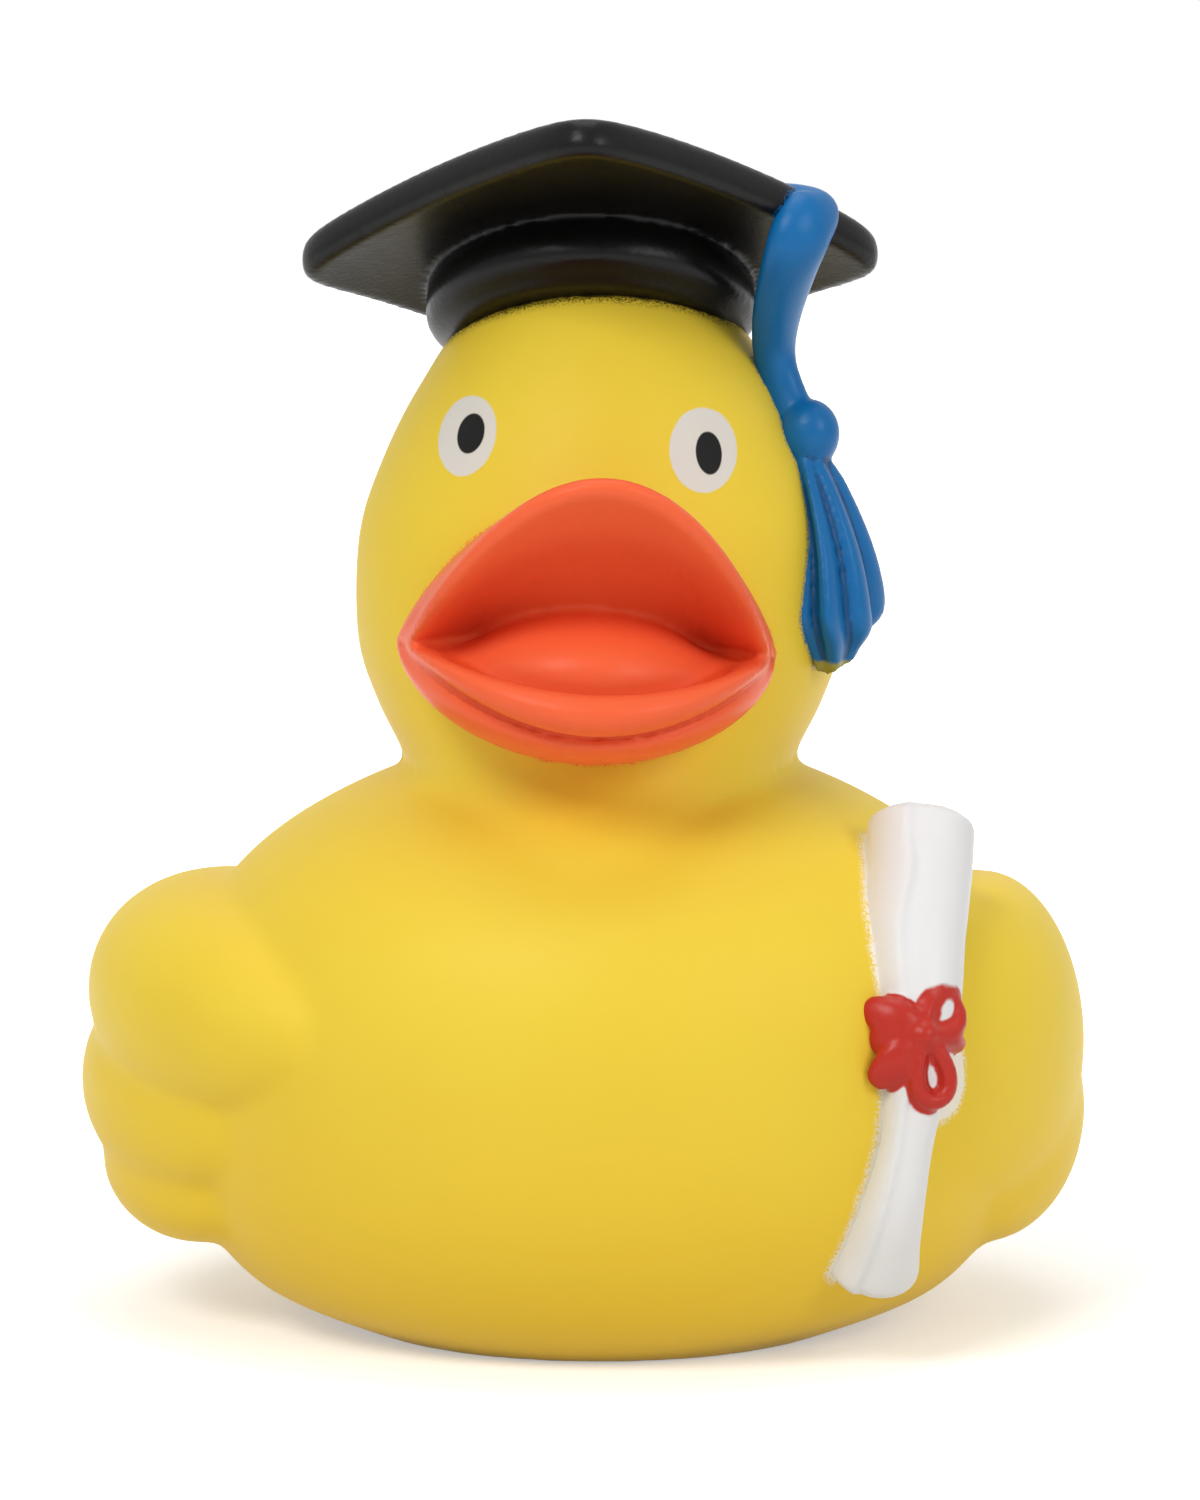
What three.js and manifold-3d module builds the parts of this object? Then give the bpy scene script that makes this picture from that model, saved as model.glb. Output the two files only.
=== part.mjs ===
// Vinyl bath duck in a graduation cap, with the squeaker pressed into its base
// Millimetres, +Z up, the duck looks along -Y and stands on z = 0
import * as THREE from 'three';
import { LoftGeometry } from 'three/addons/geometries/LoftGeometry.js';
import { mergeVertices } from 'three/addons/utils/BufferGeometryUtils.js';
import Module from 'manifold-3d';

const wasm = await Module();
wasm.setup();

// Skin of the moulding
const wall = 2.0;
const clearance = 0.3;

// Body: half width, reach to the chest and to the rump, and the heights of its outline
const baseRadius = 17.6;
const bodyHalfWidth = 31.5;
const chestReach = 30;
const rumpReach = 32;
const bellyHeight = 20;
const backHeight = 43;

// Head and neck
const neckHalfWidth = 13.9;
const neckHeight = 40.5;
const headHalfWidth = 17.7;
const headFront = 18.4;
const headBack = 16.4;
const cheekHeight = 53;
const crownHeight = 79;

// Bill: the mouth's middle, the half width at its corners and how far the lips stand out
const mouthHeight = 50.2;
const mouthOffset = -0.5;
const billHalfWidth = 12.9;
const billRise = 12.7;
const billDrop = 7.8;
const upperLipReach = 29.2;
const lowerLipReach = 28.6;
const throatRise = 2.9;
const billTurn = 6;
const billRoll = 2.5;

// Wings: how far each one stands out from the middle
const rightWingReach = 38.0;
const leftWingReach = 35.6;
const lobeTip = 0.02;

// Tail
const tailReach = 39.5;
const tailHeight = 47.5;
const tailHalfWidth = 11.5;
const tailRootThickness = 13;
const tailTipThickness = 2.4;

// Cap: a square board that tips back, on a round band
const boardSide = 31.2;
const boardThickness = 2.9;
const boardCorner = 3.2;
const boardEdge = 1.1;
const boardTilt = 25;
const boardTurn = 2;
const boardRoll = -1.5;
const boardDroop = 2.4;
const boardCentre = new THREE.Vector3(-0.6, -3.0, crownHeight + 0.1);
const bandRadius = 11.4;
const bandHeight = 4.6;
const bandSetback = 4.5;
const bandDrop = 0.6;
const bandBulge = 0.35;
const buttonRadius = 1.7;

// Tassel, laid on the right of the face as the viewer sees it
const hangBearing = -19;
const cordAside = -6.5;
const cordHalfWidth = 2.0;
const cordThickness = 1.5;
const knotHeight = 64.3;
const knotRadius = 2.15;
const tuftLength = 14;
const tuftHalfWidth = 4.5;
const tuftFolds = 7;
const tuftFoldDepth = 0.13;
const tuftSlant = 1.5;

// Diploma: a rolled sheet, waisted where the ribbon is tied
const scrollTop = 38.0;
const scrollBottom = 6.8;
const scrollRadius = 3.6;
const scrollWaist = 1.75;
const scrollFoot = 2.8;
const sheetEdge = 0.45;

// Ribbon
const ribbonHeight = 24.3;
const ribbonRadius = 0.62;
const bowKnotRadius = 1.3;
const bowSink = 1.6;

// Squeaker, pressed into the hole in the base
const holeRadius = 4.5;
const recessRadius = 6.6;
const recessDepth = 1.3;
const bossRadius = 8.6;
const bossHeight = 3.4;
const flangeThickness = 0.9;
const lipStandOut = 0.8;
const lipHeight = 1.1;
const housingLength = 10;
const boreRadius = 3.0;
const ventRadius = 1.1;
const floorThickness = 1.2;
const seatSink = 1.0;
const grooveDepth = 0.8;
const reedLift = 0.35;
const reedGroove = 1.4;
const reedLength = 5.2;
const reedWidth = 2.2;
const reedThickness = 0.25;

const { sin, cos, PI, abs, pow, sqrt, min, max } = Math;
const { degToRad: degrees, lerp, smoothstep, clamp } = THREE.MathUtils;
const point = (x, y, z) => new THREE.Vector3(x, y, z);

// A closed mesh becomes a solid once its shared corners are merged
function solid(geometry) {
  const bare = new THREE.BufferGeometry();
  bare.setAttribute('position', geometry.attributes.position);
  bare.setIndex(geometry.index);
  const merged = mergeVertices(bare, 1e-3);
  const index = merged.index.array;
  const kept = [];
  for (let i = 0; i < index.length; i += 3) {
    const [a, b, c] = [index[i], index[i + 1], index[i + 2]];
    if (a !== b && b !== c && c !== a) kept.push(a, b, c);
  }
  const mesh = new wasm.Mesh({
    numProp: 3,
    vertProperties: new Float32Array(merged.attributes.position.array),
    triVerts: new Uint32Array(kept),
  });
  return new wasm.Manifold(mesh);
}

function geometryOf(manifold) {
  const mesh = manifold.getMesh();
  const geometry = new THREE.BufferGeometry();
  geometry.setAttribute('position', new THREE.BufferAttribute(mesh.vertProperties, 3));
  geometry.setIndex(new THREE.BufferAttribute(mesh.triVerts, 1));
  geometry.computeVertexNormals();
  return geometry;
}

// Lofts rings of pointAt(u, v): u runs once round, v runs from end to end
// Both ends close on their middle, unless the last ring already folds flat on itself
function loft(pointAt, round, along, foldedEnd = false) {
  const rings = [];
  for (let row = 0; row <= along; row++) {
    const ring = [];
    for (let step = 0; step < round; step++) {
      ring.push(pointAt(step / round, row / along));
    }
    rings.push(ring);
  }
  rings.unshift(collapsed(rings[0]));
  if (!foldedEnd) rings.push(collapsed(rings[rings.length - 1]));
  return solid(new LoftGeometry(rings));
}

function collapsed(ring) {
  const middle = ring.reduce((sum, spot) => sum.add(spot), point(0, 0, 0)).divideScalar(ring.length);
  return ring.map(() => middle);
}

// Moves a surface inwards by a depth, square to itself
function inset(pointAt, depth) {
  if (depth === 0) return pointAt;
  const step = 0.002;
  return (u, v) => {
    const low = min(v, 1 - step);
    const here = pointAt(u, low);
    const round = pointAt(u + step, low).sub(here);
    const along = pointAt(u, low + step).sub(here);
    const normal = round.cross(along).normalize();
    return pointAt(u, v).addScaledVector(normal, -depth);
  };
}

// Outlines run from the bottom to the top as [reach, height]
function outline(points) {
  return new THREE.SplineCurve(points.map(([reach, height]) => new THREE.Vector2(reach, height)));
}

// A skin through three outlines: both sides, the front and the back
function skinThrough(side, front, back) {
  return (u, v) => {
    const turn = u * 2 * PI;
    const end = sin(turn) < 0 ? front : back;
    const sideAt = side.getPoint(v);
    const endAt = end.getPoint(v);
    const share = pow(cos(turn), 2);
    return point(
      sideAt.x * cos(turn),
      endAt.x * sin(turn),
      sideAt.y * share + endAt.y * (1 - share),
    );
  };
}

// Finds the row of a skin that passes through a height
function rowAt(pointAt, u, height) {
  let [low, high] = [0, 1];
  for (let i = 0; i < 24; i++) {
    const middle = (low + high) / 2;
    if (pointAt(u, middle).z < height) low = middle;
    else high = middle;
  }
  return (low + high) / 2;
}

// A point that stands off a skin, at a bearing in degrees from +X and a height
function onSkin(pointAt, bearing, height, standOff = 0) {
  const u = bearing / 360;
  const v = rowAt(pointAt, u, height);
  return inset(pointAt, -standOff || 1e-9)(u, v);
}

// Body

const bodySide = outline([
  [baseRadius, 0],
  [bodyHalfWidth * 0.81, bellyHeight * 0.17],
  [bodyHalfWidth * 0.955, bellyHeight * 0.5],
  [bodyHalfWidth, bellyHeight],
  [bodyHalfWidth * 0.955, lerp(bellyHeight, backHeight, 0.3)],
  [bodyHalfWidth * 0.83, lerp(bellyHeight, backHeight, 0.58)],
  [bodyHalfWidth * 0.62, lerp(bellyHeight, backHeight, 0.79)],
  [bodyHalfWidth * 0.34, lerp(bellyHeight, backHeight, 0.94)],
  [bodyHalfWidth * 0.02, backHeight],
]);
const bodyFront = outline([
  [baseRadius, 0],
  [chestReach * 0.77, bellyHeight * 0.2],
  [chestReach * 0.94, bellyHeight * 0.6],
  [chestReach, bellyHeight * 1.1],
  [chestReach * 0.95, lerp(bellyHeight, backHeight, 0.42)],
  [chestReach * 0.82, lerp(bellyHeight, backHeight, 0.64)],
  [chestReach * 0.62, lerp(bellyHeight, backHeight, 0.82)],
  [chestReach * 0.34, lerp(bellyHeight, backHeight, 0.95)],
  [chestReach * 0.02, backHeight],
]);
const bodyBack = outline([
  [baseRadius, 0],
  [rumpReach * 0.78, bellyHeight * 0.22],
  [rumpReach * 0.94, bellyHeight * 0.6],
  [rumpReach, bellyHeight * 1.1],
  [rumpReach * 0.95, lerp(bellyHeight, backHeight, 0.38)],
  [rumpReach * 0.82, lerp(bellyHeight, backHeight, 0.6)],
  [rumpReach * 0.62, lerp(bellyHeight, backHeight, 0.78)],
  [rumpReach * 0.34, lerp(bellyHeight, backHeight, 0.92)],
  [rumpReach * 0.02, backHeight],
]);
const bodyPoint = skinThrough(bodySide, bodyFront, bodyBack);

// Head and neck: narrow at the sides of the neck, flared into the chest at the front

const headSide = outline([
  [neckHalfWidth + 1.2, neckHeight - 9],
  [neckHalfWidth + 0.3, neckHeight - 4],
  [neckHalfWidth, neckHeight],
  [headHalfWidth * 0.91, lerp(neckHeight, cheekHeight, 0.38)],
  [headHalfWidth * 0.99, lerp(neckHeight, cheekHeight, 0.75)],
  [headHalfWidth * 0.985, lerp(cheekHeight, crownHeight, 0.155)],
  [headHalfWidth * 0.9, lerp(cheekHeight, crownHeight, 0.35)],
  [headHalfWidth * 0.74, lerp(cheekHeight, crownHeight, 0.57)],
  [headHalfWidth * 0.49, lerp(cheekHeight, crownHeight, 0.8)],
  [headHalfWidth * 0.02, crownHeight],
]);
const headFrontLine = outline([
  [headFront + 8.4, neckHeight - 9],
  [headFront + 4.6, neckHeight - 4],
  [headFront + 0.3, neckHeight],
  [headFront - 1.1, lerp(neckHeight, cheekHeight, 0.38)],
  [headFront - 0.2, lerp(neckHeight, cheekHeight, 0.75)],
  [headFront * 0.985, lerp(cheekHeight, crownHeight, 0.155)],
  [headFront * 0.89, lerp(cheekHeight, crownHeight, 0.37)],
  [headFront * 0.72, lerp(cheekHeight, crownHeight, 0.62)],
  [headFront * 0.46, lerp(cheekHeight, crownHeight, 0.84)],
  [headFront * 0.02, crownHeight],
]);
const headBackLine = outline([
  [headBack - 4.6, neckHeight - 9],
  [headBack - 4.6, neckHeight - 4],
  [headBack - 4.2, neckHeight],
  [headBack * 0.86, lerp(neckHeight, cheekHeight, 0.38)],
  [headBack * 0.98, lerp(neckHeight, cheekHeight, 0.75)],
  [headBack * 0.99, lerp(cheekHeight, crownHeight, 0.155)],
  [headBack * 0.91, lerp(cheekHeight, crownHeight, 0.35)],
  [headBack * 0.75, lerp(cheekHeight, crownHeight, 0.57)],
  [headBack * 0.5, lerp(cheekHeight, crownHeight, 0.8)],
  [headBack * 0.02, crownHeight],
]);
const headPoint = skinThrough(headSide, headFrontLine, headBackLine);

// Bill: closed rings run round the mouth, from the root on the face, over the lips and into the throat

const billRings = [
  { wide: 0.84, rise: 8.0, drop: 6.0, corner: 8, top: 9, bottom: 9, peak: 1.2, sag: 1.2 },
  {
    wide: 1.0, rise: billRise - 2.3, drop: billDrop, corner: 11.6, top: 15, bottom: 16,
    peak: 1.5, sag: 1.2,
  },
  {
    wide: 1.03, rise: billRise - 1.2, drop: billDrop - 0.7, corner: 14.9, top: 22, bottom: 22,
    peak: 1.6, sag: 1.15,
  },
  {
    wide: 1.0, rise: billRise - 0.3, drop: billDrop - 2.5, corner: 14.9, top: upperLipReach - 2.2,
    bottom: lowerLipReach - 3.4, peak: 1.65, sag: 1.4,
  },
  {
    wide: 0.98, rise: billRise, drop: billDrop - 3.3, corner: 16.6, top: upperLipReach - 0.4,
    bottom: lowerLipReach - 0.4, peak: 1.7, sag: 2.0,
  },
  {
    wide: 0.92, rise: billRise - 1.1, drop: billDrop - 5.1, corner: 16.4, top: upperLipReach,
    bottom: lowerLipReach - 0.2, peak: 1.7, sag: 2.1,
  },
  {
    wide: 0.84, rise: billRise - 3.0, drop: billDrop - 4.9, corner: 15.2, top: upperLipReach - 2.4,
    bottom: lowerLipReach - 2.8, peak: 1.6, sag: 2.0,
  },
  {
    wide: 0.74, rise: billRise - 5.6, drop: 1.4, corner: 14.2, top: 22.6, bottom: 24.6,
    peak: 1.4, sag: 1.5,
  },
  {
    wide: 0.64, rise: billRise - 8.0, drop: -0.6, corner: 13.6, top: 19.8, bottom: 21.6,
    peak: 1.2, sag: 1.2,
  },
  {
    wide: 0.56, rise: throatRise, drop: -throatRise, corner: 13.4, top: 18.2, bottom: 18.2,
    peak: 1.1, sag: 1.1,
  },
];

// Smooth value of one measure of the rings, at a share of the way from root to throat
function ringMeasure(name) {
  const points = billRings.map((ring, i) => new THREE.Vector2(i, ring[name]));
  const curve = new THREE.SplineCurve(points);
  return (v) => curve.getPoint(v).y;
}
const billWide = ringMeasure('wide');
const billUp = ringMeasure('rise');
const billDown = ringMeasure('drop');
const billCorner = ringMeasure('corner');
const billTop = ringMeasure('top');
const billBottom = ringMeasure('bottom');
const billPeak = ringMeasure('peak');
const billSag = ringMeasure('sag');

const billTwist = new THREE.Matrix4()
  .makeRotationZ(degrees(billTurn))
  .multiply(new THREE.Matrix4().makeRotationY(degrees(billRoll)));
const billCentre = point(mouthOffset, -headFront * 0.7, mouthHeight);

function billPoint(u, v) {
  const turn = u * 2 * PI;
  const up = sin(turn) > 0;
  const lift = abs(sin(turn));
  const height = up ? billUp(v) * pow(lift, billPeak(v)) : -billDown(v) * pow(lift, billSag(v));
  const reach = lerp(billCorner(v), up ? billTop(v) : billBottom(v), lift);
  const spot = point(billHalfWidth * billWide(v) * cos(turn), -reach, mouthHeight + height);
  return spot.sub(point(0, billCentre.y, mouthHeight)).applyMatrix4(billTwist).add(billCentre);
}

// Limbs: an oval section carried along a curve, with its flat side turned to a given direction

function limb(path, sizeAt, outAt) {
  return (u, v) => {
    const centre = path.getPoint(v);
    const along = path.getTangent(v);
    const out = outAt(v, centre);
    out.addScaledVector(along, -out.dot(along)).normalize();
    const across = out.clone().cross(along);
    const { wide, thick, fold = 0, slant = 0 } = sizeAt(v);
    const turn = u * 2 * PI;
    const ripple = 1 + fold * cos(turn * tuftFolds);
    return centre
      .addScaledVector(along, -slant * cos(turn))
      .addScaledVector(across, wide * cos(turn) * ripple)
      .addScaledVector(out, thick * sin(turn) * ripple);
  };
}

const curve = (...points) => new THREE.CatmullRomCurve3(points);

// A leaf: full in the middle, closing to rounded ends
const leaf = (v, blunt) => pow(sin(PI * lerp(lobeTip, 1 - lobeTip, v)), blunt);

// Wings: lobes like stacked feathers; side is -1 for the duck's right wing and 1 for its left one
// Each lobe runs from front to back, bows out to its reach and rises towards its back end

function lobe(side, { reach, front, back, height, lift, frontTuck, backTuck, wide, thick }) {
  const spine = [0, 0.15, 0.32, 0.5, 0.68, 0.85, 1].map((share) => {
    const tuck = (share < 0.5 ? frontTuck : backTuck) * pow(abs(2 * share - 1), 2.2);
    return point(side * (reach - thick - tuck), lerp(front, back, share), height + lift * pow(share, 3.2));
  });
  const size = (v) => ({
    wide: wide * leaf(v, 0.62) * lerp(1.08, 0.6, v),
    thick: thick * leaf(v, 0.75),
  });
  return limb(curve(...spine), size, () => point(side, -0.25, 0.1));
}

const rightUpper = lobe(-1, {
  reach: rightWingReach - 0.9, front: -23.2, back: 28, height: 23.6, lift: 3.6,
  frontTuck: 9.4, backTuck: 6.5, wide: 9.2, thick: 9,
});
const rightMiddle = lobe(-1, {
  reach: rightWingReach, front: -18, back: 25, height: 16.6, lift: 4.4,
  frontTuck: 9, backTuck: 7.2, wide: 7.5, thick: 6.6,
});
const rightLower = lobe(-1, {
  reach: rightWingReach - 1.6, front: -14, back: 19, height: 10.7, lift: 4.3,
  frontTuck: 8, backTuck: 6.5, wide: 5.2, thick: 5.8,
});
const leftUpper = lobe(1, {
  reach: leftWingReach - 0.6, front: -21.5, back: 29, height: 20.7, lift: 7.3,
  frontTuck: 10.5, backTuck: 9, wide: 12.6, thick: 5.8,
});
const leftLower = lobe(1, {
  reach: leftWingReach - 0.4, front: -14, back: 25, height: 14.8, lift: 5.6,
  frontTuck: 8.2, backTuck: 8, wide: 10.4, thick: 6.6,
});

// Tail: flat, turned up at its tip

const tailRoot = { reach: rumpReach * 0.47, height: lerp(bellyHeight, backHeight, 0.17) };
const tailBend = { reach: rumpReach * 0.78, height: lerp(bellyHeight, backHeight, 0.48) };
const tailPath = curve(
  point(0, tailRoot.reach, tailRoot.height),
  point(0, tailBend.reach, tailBend.height),
  point(0, lerp(tailBend.reach, tailReach, 0.6), lerp(tailBend.height, tailHeight, 0.42)),
  point(0, tailReach - 1, tailHeight - 1),
);
const roundedTip = (v) => sqrt(1 - 0.96 * pow(v, 9));
const tailSize = (v) => ({
  wide: tailHalfWidth * lerp(1.45, 0.62, v) * roundedTip(v),
  thick: lerp(tailRootThickness, tailTipThickness, pow(v, 0.7)) * roundedTip(v),
});
const tailPoint = limb(tailPath, tailSize, () => point(0, -1, 1));

// Cap

const capPose = new THREE.Matrix4()
  .makeTranslation(boardCentre)
  .multiply(new THREE.Matrix4().makeRotationY(degrees(boardRoll)))
  .multiply(new THREE.Matrix4().makeRotationX(degrees(-boardTilt)))
  .multiply(new THREE.Matrix4().makeRotationZ(degrees(boardTurn)));
const capPoint = (x, y, z) => point(x, y, z).applyMatrix4(capPose);

// Rings of a rounded square run from the middle below, out over the edge and back to the middle above
function boardPoint(u, v) {
  const turn = u * 2 * PI;
  const half = boardSide / 2;
  const corner = boardSide / boardCorner;
  const flat = 0.36;
  const rim = half - boardEdge;
  const over = clamp((v - flat) / (1 - 2 * flat), 0, 1) * PI;
  const onEdge = v > flat && v < 1 - flat;
  const reach = onEdge ? rim + boardEdge * sin(over) : rim * max(min(v, 1 - v) / flat, 0.02);
  const round = pow(pow(abs(cos(turn)), corner) + pow(abs(sin(turn)), corner), -1 / corner);
  const [x, y] = [reach * round * cos(turn + PI / 4), reach * round * sin(turn + PI / 4)];
  const droop = boardDroop * (x * x + y * y) / (2 * half * half);
  return capPoint(x, y, -boardThickness / 2 * cos(over) - droop);
}

function band() {
  const rows = 3;
  const profile = [new THREE.Vector2(0, 0)];
  for (let row = 0; row <= rows; row++) {
    const share = row / rows;
    const bulge = bandBulge * sin(PI * share);
    profile.push(new THREE.Vector2(bandRadius + bulge, share * bandHeight));
  }
  profile.push(new THREE.Vector2(0, bandHeight));
  const drum = new THREE.LatheGeometry(profile, 36);
  drum.rotateX(PI / 2);
  drum.translate(0, bandSetback, -boardThickness / 2 - bandHeight - bandDrop);
  drum.applyMatrix4(capPose);
  return solid(drum);
}

// Everything above the board's middle, to keep the crown inside the cap
function aboveBoard() {
  const block = new THREE.BoxGeometry(4 * boardSide, 4 * boardSide, boardSide);
  block.translate(0, 0, boardSide / 2);
  block.applyMatrix4(capPose);
  return solid(block);
}

// Tassel: cord over the board, knot, and a tuft of folds against the cheek

const boardTop = boardThickness / 2;
const cordEdge = boardSide / 2 + 0.5;
const tasselPath = curve(
  capPoint(0, 0, boardTop),
  capPoint(cordEdge * 0.5, cordAside * 0.25, boardTop - 0.3),
  capPoint(cordEdge * 0.85, cordAside * 0.7, boardTop - 0.9),
  capPoint(cordEdge, cordAside * 0.95, boardTop - 1.9),
  capPoint(cordEdge - 0.4, cordAside, boardTop - 5.2),
  onSkin(headPoint, hangBearing, knotHeight + 6.8, 1.9),
  onSkin(headPoint, hangBearing, knotHeight + 3.4, 0.7),
  onSkin(headPoint, hangBearing, knotHeight + 0.2, 0.5),
);
const cordNarrows = (v) => lerp(1, 0.62, smoothstep(v, 0.66, 0.86));
const cordSize = (v) => ({
  wide: cordHalfWidth * (0.85 + 0.25 * sin(PI * min(v * 1.1, 1))) * cordNarrows(v),
  thick: cordThickness,
});
function cordOut(v, centre) {
  const up = point(0, sin(degrees(boardTilt)), cos(degrees(boardTilt)));
  const sideways = point(cos(degrees(hangBearing)), sin(degrees(hangBearing)), 0);
  return up.lerp(sideways, smoothstep(v, 0.3, 0.62));
}
const tasselCord = limb(tasselPath, cordSize, cordOut);

const knotAt = onSkin(headPoint, hangBearing, knotHeight, 1.1);
const tuftPath = curve(...[0.6, 3.6, 8.0, 12.0, tuftLength + 0.9].map((drop, row) => (
  onSkin(headPoint, hangBearing, knotHeight - drop, 0.4 + 0.1 * row)
)));
const tuftSize = (v) => ({
  wide: tuftHalfWidth * lerp(0.3, 1, smoothstep(v, -0.1, 0.8)) * lerp(1, 0.66, smoothstep(v, 0.78, 1)),
  thick: lerp(1.1, 2.4, smoothstep(v, 0.05, 0.8)) * lerp(1, 0.55, smoothstep(v, 0.8, 1)),
  fold: tuftFoldDepth * smoothstep(v, 0, 0.25),
  slant: tuftSlant * smoothstep(v, 0.5, 1),
});
const tuft = limb(tuftPath, tuftSize, (v, centre) => point(centre.x, centre.y, 0));

function ball(centre, radius, squash = 1) {
  const sphere = new THREE.SphereGeometry(radius, 12, 8);
  sphere.scale(1, 1, squash);
  sphere.translate(centre.x, centre.y, centre.z);
  return solid(sphere);
}

// Diploma: the roll leans on the chest and the wing, its free sheet edge is a step down its front

const scrollPath = curve(
  point(19.7, -18.4, scrollBottom),
  point(21.3, -21.6, 12),
  point(22.5, -22.2, 18),
  point(23.3, -20.6, ribbonHeight),
  point(23.4, -17.2, 30.5),
  point(23.4, -13.6, scrollTop - 3.5),
  point(23.4, -11.6, scrollTop),
);
const scrollGirth = new THREE.SplineCurve([
  new THREE.Vector2(0, scrollFoot),
  new THREE.Vector2(0.2, lerp(scrollWaist, scrollFoot, 0.5)),
  new THREE.Vector2(0.4, scrollWaist),
  new THREE.Vector2(0.6, lerp(scrollWaist, scrollRadius, 0.42)),
  new THREE.Vector2(0.8, lerp(scrollWaist, scrollRadius, 0.7)),
  new THREE.Vector2(1, scrollRadius),
]);
const scrollOut = point(0.35, -0.94, 0);
function scrollPoint(u, v) {
  const girth = scrollGirth.getPoint(v).y;
  const wrap = sheetEdge * ((u + 0.85) % 1);
  const size = { wide: girth + wrap, thick: girth + wrap };
  return limb(scrollPath, () => size, () => scrollOut.clone())(u, v);
}

// Ribbon: a turn round the waist, a knot and four loops of a bow

function ribbonTurn() {
  const v = rowAt(scrollPoint, 0.25, ribbonHeight);
  const ring = [];
  for (let step = 0; step < 14; step++) {
    ring.push(inset(scrollPoint, -0.1)(step / 14, v));
  }
  return new THREE.CatmullRomCurve3(ring, true);
}

const knotSpot = inset(scrollPoint, -0.5)(0.25, rowAt(scrollPoint, 0.25, ribbonHeight));
const bowLoops = [
  { bearing: 50, length: 3.7, width: 1.35 },
  { bearing: -78, length: 5.3, width: 1.35 },
  { bearing: 146, length: 4.2, width: 1.0 },
  { bearing: -136, length: 4.2, width: 1.0 },
];
const bowRight = point(0.94, 0.34, 0);
const bowUp = point(0, 0.25, 0.97);

function bowLoop({ bearing, length, width }) {
  const reach = bowRight.clone().multiplyScalar(cos(degrees(bearing)))
    .addScaledVector(bowUp, sin(degrees(bearing)));
  const across = bowRight.clone().multiplyScalar(-sin(degrees(bearing)))
    .addScaledVector(bowUp, cos(degrees(bearing)));
  const inwards = scrollOut.clone().negate();
  const ring = [];
  for (let step = 0; step < 12; step++) {
    const turn = (step / 12) * 2 * PI;
    const out = (1 - cos(turn)) / 2;
    ring.push(knotSpot.clone()
      .addScaledVector(reach, length * out)
      .addScaledVector(across, width * sin(turn) * sqrt(out))
      .addScaledVector(inwards, abs(cos(degrees(bearing))) * bowSink * out * out));
  }
  return new THREE.CatmullRomCurve3(ring, true);
}

// A round strand along a closed curve
function strand(path, radius, steps, sides) {
  const section = new THREE.Shape();
  for (let side = 0; side < sides; side++) {
    const turn = (side / sides) * 2 * PI;
    const [x, y] = [radius * cos(turn), radius * sin(turn)];
    if (side === 0) section.moveTo(x, y);
    else section.lineTo(x, y);
  }
  section.closePath();
  return solid(new THREE.ExtrudeGeometry(section, { steps, extrudePath: path, bevelEnabled: false }));
}

// Base: hole with a recess under it and a boss round it inside

function plug(radius, from, to, sides = 40) {
  const cylinder = new THREE.CylinderGeometry(radius, radius, to - from, sides);
  cylinder.rotateX(PI / 2);
  cylinder.translate(0, 0, (from + to) / 2);
  return solid(cylinder);
}

const join = (parts) => wasm.Manifold.union(parts);

// The hollow of the mouth, from the crest of the lips to the throat, reaching a little into the bill
const billRound = 32;
const billRows = 18;
const crestRow = 9;
const mouthMargin = 0.3;
const mouthPoint = inset((u, v) => billPoint(1 - u, lerp(crestRow / billRows, 1, v)), -mouthMargin);

// Slivers thinner than the mesh can hold are left behind where skins run along each other
function largest(manifold) {
  const pieces = solid(geometryOf(manifold)).decompose();
  return pieces.reduce((big, piece) => (piece.volume() > big.volume() ? piece : big));
}

function shell() {
  const outside = join([
    loft(bodyPoint, 40, 17),
    loft(headPoint, 36, 18).subtract(loft(mouthPoint, billRound, billRows - crestRow)),
    loft(rightUpper, 14, 13),
    loft(rightMiddle, 12, 10),
    loft(rightLower, 12, 8),
    loft(leftUpper, 14, 13),
    loft(leftLower, 12, 10),
    loft(tailPoint, 16, 9),
  ]).subtract(aboveBoard());
  const features = join([
    loft(billPoint, billRound, billRows, true),
    loft(boardPoint, 36, 13),
    band(),
    ball(capPoint(0, 0, boardTop), buttonRadius, 0.7),
    loft(tasselCord, 10, 20),
    ball(knotAt, knotRadius, 1.15),
    loft(tuft, 4 * tuftFolds, 8),
    loft(scrollPoint, 20, 12),
    strand(ribbonTurn(), ribbonRadius, 14, 5),
    ball(knotSpot, bowKnotRadius),
    ...bowLoops.map((loop) => strand(bowLoop(loop), ribbonRadius, 14, 5)),
  ]);
  const hollow = join([
    loft(inset(bodyPoint, wall), 22, 9),
    loft(inset(headPoint, wall), 18, 9),
    loft(inset(rightUpper, wall), 8, 7),
    loft(inset(leftUpper, wall), 8, 7),
  ]).subtract(plug(bossRadius, 0, bossHeight, 24));
  const base = join([
    plug(holeRadius, -1, bossHeight + 1, 28),
    plug(recessRadius, -1, recessDepth, 28),
  ]);
  return largest(outside.add(features).subtract(hollow).subtract(base));
}

// Squeaker: a flanged cup held in the hole, a plug with an air channel in its bore, and a reed

const flangeTop = recessDepth - clearance;
const flangeBottom = flangeTop - flangeThickness;
const neckRadius = holeRadius - clearance;
const lipBottom = bossHeight + clearance;
const housingTop = flangeBottom + housingLength;
const boreFloor = flangeBottom + floorThickness;

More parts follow.
